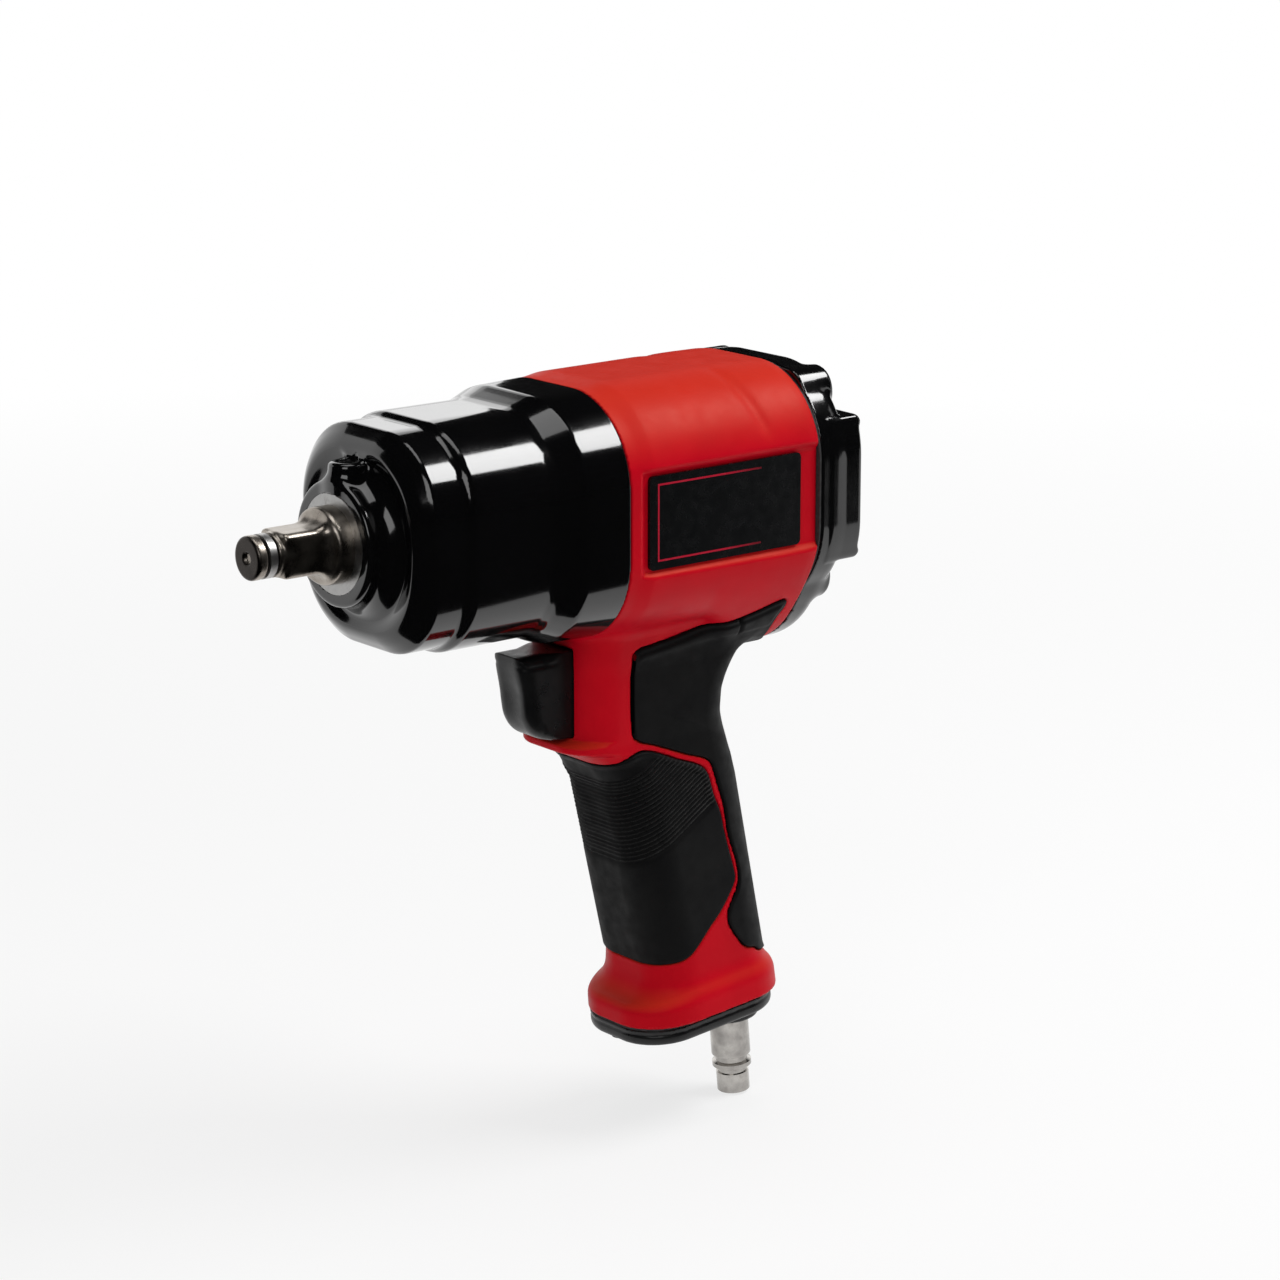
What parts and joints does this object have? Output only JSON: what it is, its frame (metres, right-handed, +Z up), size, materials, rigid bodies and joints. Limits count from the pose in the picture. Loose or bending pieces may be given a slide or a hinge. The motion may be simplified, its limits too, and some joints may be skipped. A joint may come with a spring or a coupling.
{
  "type": "pneumatic impact wrench",
  "caption": "Pistol-grip air impact wrench with a square drive anvil, swinging hammer mechanism, vane motor, sprung trigger and air nipple.",
  "frame": {"origin": "centre of the square drive's front tip, on the drive axis", "axes": "+X out of the drive along its axis, +Y to the tool's left, +Z up, away from the handle"},
  "size_m": [0.194, 0.073, 0.2423],
  "materials": {
    "gloss_black": "gloss coat over the cast alloy case",
    "cover_black": "gloss black moulding",
    "red_composite": "satin red composite",
    "black_rubber": "matte overmoulded rubber",
    "black_plastic": "semi-gloss black plastic",
    "label_film": "bare dark plate",
    "drive_steel": "ground and hardened steel",
    "bearing_steel": "ground steel",
    "hardened_steel": "forged and oiled steel",
    "zinc_steel": "zinc plated steel",
    "black_steel": "black oxide steel",
    "nickel": "bright nickel plate",
    "brass": "turned brass",
    "liner_steel": "honed steel",
    "plate_alloy": "machined alloy",
    "vane_resin": "phenolic laminate",
    "gasket_sheet": "gasket sheet",
    "seal_rubber": "nitrile rubber",
    "muffler_felt": "porous felt"
  },
  "bodies": {
    "housing": {"hammer_case": "gloss_black", "grease_plug": "black_steel", "anvil_bushing": "bearing_steel", "thrust_washer": "hardened_steel", "front_end_plate": "plate_alloy", "rear_end_plate": "plate_alloy", "motor_cylinder": "liner_steel", "cylinder_dowel": "bearing_steel", "motor_housing": "red_composite", "front_grip_pad": "black_rubber", "rear_grip_pad": "black_rubber", "left_label_plate": "label_film", "right_label_plate": "label_film", "rear_cover": "cover_black", "cover_screws": "black_steel", "detent_ball": "bearing_steel", "detent_spring": "zinc_steel", "trigger_spring": "zinc_steel", "trigger_sleeve": "brass", "valve_seat": "brass", "valve_spring": "zinc_steel", "spring_cup": "brass", "base_gasket": "gasket_sheet", "base_cover": "black_plastic", "base_screws": "black_steel", "muffler_pad": "muffler_felt", "inlet_insert": "plate_alloy", "inlet_strainer": "bearing_steel", "nipple_seal": "seal_rubber", "air_nipple": "nickel", "front_bearing_outer_race": "bearing_steel", "front_bearing_balls": "bearing_steel", "rear_bearing_outer_race": "bearing_steel", "rear_bearing_balls": "bearing_steel", "case_gasket": "gasket_sheet", "cover_gasket": "gasket_sheet"},
    "anvil": {"anvil": "drive_steel", "socket_ring": "bearing_steel", "ring_cushion": "seal_rubber"},
    "rotor": {"rotor": "hardened_steel", "rotor_vanes": "vane_resin", "hammer_cage": "hardened_steel", "hammer_pins": "bearing_steel", "front_bearing_inner_race": "bearing_steel", "rear_bearing_inner_race": "bearing_steel"},
    "front_hammer": {"front_hammer": "hardened_steel"},
    "rear_hammer": {"rear_hammer": "hardened_steel"},
    "trigger": {"trigger": "black_plastic", "trigger_rod": "bearing_steel", "trigger_pin": "bearing_steel"},
    "throttle_valve": {"throttle_valve": "brass"},
    "selector": {"selector_knob": "black_plastic", "selector_valve": "brass", "selector_ring": "seal_rubber", "selector_screw": "black_steel"}
  },
  "joints": [
    {"name": "anvil_spin", "type": "hinge", "parent": "housing", "child": "anvil", "pos_m": [0, 0, 0], "axis": [1, 0, 0], "continuous": true},
    {"name": "rotor_spin", "type": "hinge", "parent": "housing", "child": "rotor", "pos_m": [0, 0, 0], "axis": [1, 0, 0], "continuous": true},
    {"name": "front_hammer_swing", "type": "hinge", "parent": "rotor", "child": "front_hammer", "pos_m": [-0.0598, 0, 0.0176], "axis": [1, 0, 0], "range_deg": [-3, 3]},
    {"name": "rear_hammer_swing", "type": "hinge", "parent": "rotor", "child": "rear_hammer", "pos_m": [-0.0716, 0, -0.0176], "axis": [1, 0, 0], "range_deg": [-3, 3]},
    {"name": "trigger_press", "type": "slide", "parent": "housing", "child": "trigger", "axis": [-1, 0, 0], "range_m": [0, 0.0045], "stiffness_N_per_m": 2000, "springref_m": -0.002, "deforming": ["trigger_spring"]},
    {"name": "throttle_tilt", "type": "hinge", "parent": "housing", "child": "throttle_valve", "pos_m": [-0.136, 0, -0.0667], "axis": [0, -1, 0], "range_deg": [0, 19.2], "deforming": ["valve_spring"]},
    {"name": "selector_turn", "type": "hinge", "parent": "housing", "child": "selector", "pos_m": [-0.191, 0, 0], "axis": [-1, 0, 0], "range_deg": [-45, 45]}
  ],
  "couplings": [
    {"joint": "throttle_tilt", "follows": "trigger_press", "rad_per_m": 73.5}
  ]
}
